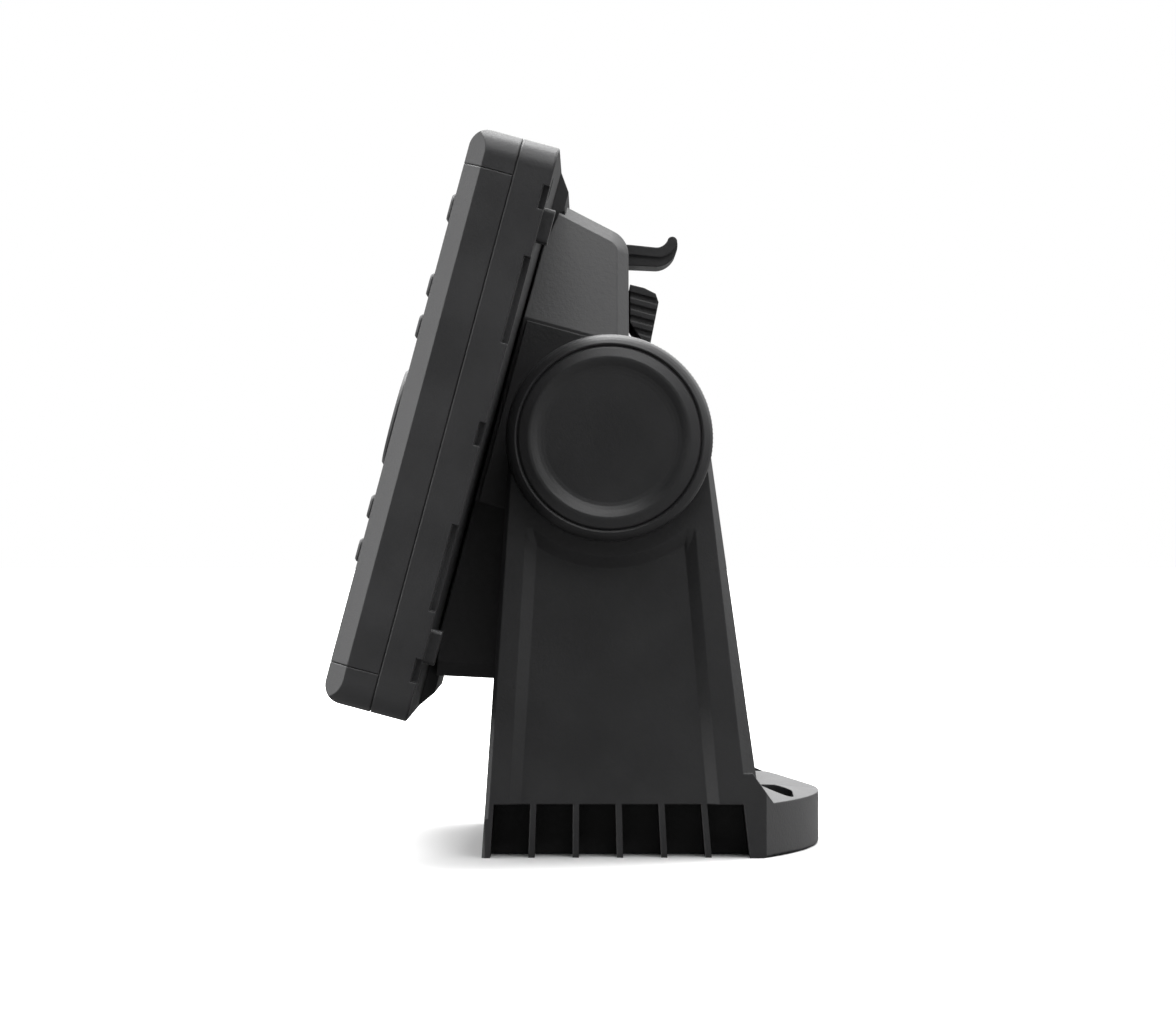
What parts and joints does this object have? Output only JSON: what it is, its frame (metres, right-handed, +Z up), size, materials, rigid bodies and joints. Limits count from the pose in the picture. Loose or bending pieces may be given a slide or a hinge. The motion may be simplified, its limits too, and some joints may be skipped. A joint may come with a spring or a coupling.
{
  "type": "chartplotter display",
  "caption": "Marine chartplotter head in a quick-release cradle on a tilting bail bracket with clamp knobs, release lever and push keys.",
  "frame": {"origin": "centre of the four base screws, on the surface the base stands on", "axes": "+Z up, -Y towards the person facing the screen, +X to that person's right"},
  "size_m": [0.25, 0.1262, 0.1819],
  "materials": {
    "housing": "fine spark-eroded texture",
    "cradle": "fine moulded texture",
    "bail": "fine moulded texture",
    "knob": "satin, turned look",
    "trim": "satin moulded texture",
    "keys": "soft matt",
    "glass": "bonded glass over a dark display, gloss",
    "display": "display module case",
    "rubber": "matt",
    "board": "solder mask",
    "connector": "glass-filled nylon",
    "brass": "plated",
    "steel": "stainless, turned",
    "aluminium": "plain sheet",
    "bush": "acetal"
  },
  "bodies": {
    "bail": {"bail_bracket": "bail", "pivot_bush_left": "bush", "pivot_bush_right": "bush"},
    "cradle": {"cradle_shell": "cradle", "cradle_cover": "cradle", "cradle_screws": "steel", "contact_block": "connector", "contact_pins": "brass", "cable_ports": "connector", "port_pins": "brass", "lever_pin": "steel", "thread_insert_left": "brass", "thread_insert_right": "brass", "friction_washer_left": "rubber", "friction_washer_right": "rubber"},
    "lever": {"release_lever": "cradle"},
    "lock": {"cable_lock": "cradle"},
    "display": {"front_bezel": "housing", "back_housing": "housing", "cover_glass": "glass", "glass_gasket": "rubber", "lcd_module": "display", "heat_spreader": "aluminium", "main_board": "board", "keypad_mat": "rubber", "housing_gasket": "rubber", "housing_screws": "steel", "contact_socket": "connector", "beeper": "connector", "vent_plug": "rubber", "trim_cap_left": "trim", "trim_cap_right": "trim"},
    "knob_left": {"knob_grip_left": "knob", "knob_cap_left": "knob", "knob_stud_left": "steel", "knob_washer_left": "steel"},
    "knob_right": {"knob_grip_right": "knob", "knob_cap_right": "knob", "knob_stud_right": "steel", "knob_washer_right": "steel"},
    "power_key": {"power_key": "keys"},
    "menu_key": {"menu_key": "keys"},
    "back_key": {"back_key": "keys"},
    "arrow_pad": {"arrow_pad": "keys"},
    "enter_key": {"enter_key": "keys"},
    "mark_key": {"mark_key": "keys"}
  },
  "joints": [
    {"name": "tilt", "type": "hinge", "parent": "bail", "child": "cradle", "pos_m": [0, -0.012, 0.1068], "axis": [1, 0, 0], "range_deg": [-45, 10]},
    {"name": "display_lift_off", "type": "slide", "parent": "cradle", "child": "display", "axis": [0, -0.9659, 0.2588], "range_m": [0, 0.06]},
    {"name": "release_lever_press", "type": "hinge", "parent": "cradle", "child": "lever", "pos_m": [0, -0.0175, 0.1556], "axis": [-1, 0, 0], "range_deg": [0, 6], "stiffness_Nm_per_rad": 1.2, "springref_deg": -2.86},
    {"name": "cable_lock_slide", "type": "slide", "parent": "cradle", "child": "lock", "axis": [0, 0, 1], "range_m": [0, 0.0028]},
    {"name": "knob_left_turn", "type": "hinge", "parent": "bail", "child": "knob_left", "pos_m": [0, -0.012, 0.1068], "axis": [-1, 0, 0], "continuous": true},
    {"name": "knob_right_turn", "type": "hinge", "parent": "bail", "child": "knob_right", "pos_m": [0, -0.012, 0.1068], "axis": [1, 0, 0], "continuous": true},
    {"name": "power_key_press", "type": "slide", "parent": "display", "child": "power_key", "axis": [0, 0.9659, -0.2588], "range_m": [0, 0.0006], "stiffness_N_per_m": 800, "springref_m": -0.0006},
    {"name": "menu_key_press", "type": "slide", "parent": "display", "child": "menu_key", "axis": [0, 0.9659, -0.2588], "range_m": [0, 0.0006], "stiffness_N_per_m": 800, "springref_m": -0.0006},
    {"name": "back_key_press", "type": "slide", "parent": "display", "child": "back_key", "axis": [0, 0.9659, -0.2588], "range_m": [0, 0.0006], "stiffness_N_per_m": 800, "springref_m": -0.0006},
    {"name": "arrow_pad_press", "type": "slide", "parent": "display", "child": "arrow_pad", "axis": [0, 0.9659, -0.2588], "range_m": [0, 0.0006], "stiffness_N_per_m": 800, "springref_m": -0.0006},
    {"name": "enter_key_press", "type": "slide", "parent": "display", "child": "enter_key", "axis": [0, 0.9659, -0.2588], "range_m": [0, 0.0006], "stiffness_N_per_m": 800, "springref_m": -0.0006},
    {"name": "mark_key_press", "type": "slide", "parent": "display", "child": "mark_key", "axis": [0, 0.9659, -0.2588], "range_m": [0, 0.0006], "stiffness_N_per_m": 800, "springref_m": -0.0006}
  ]
}
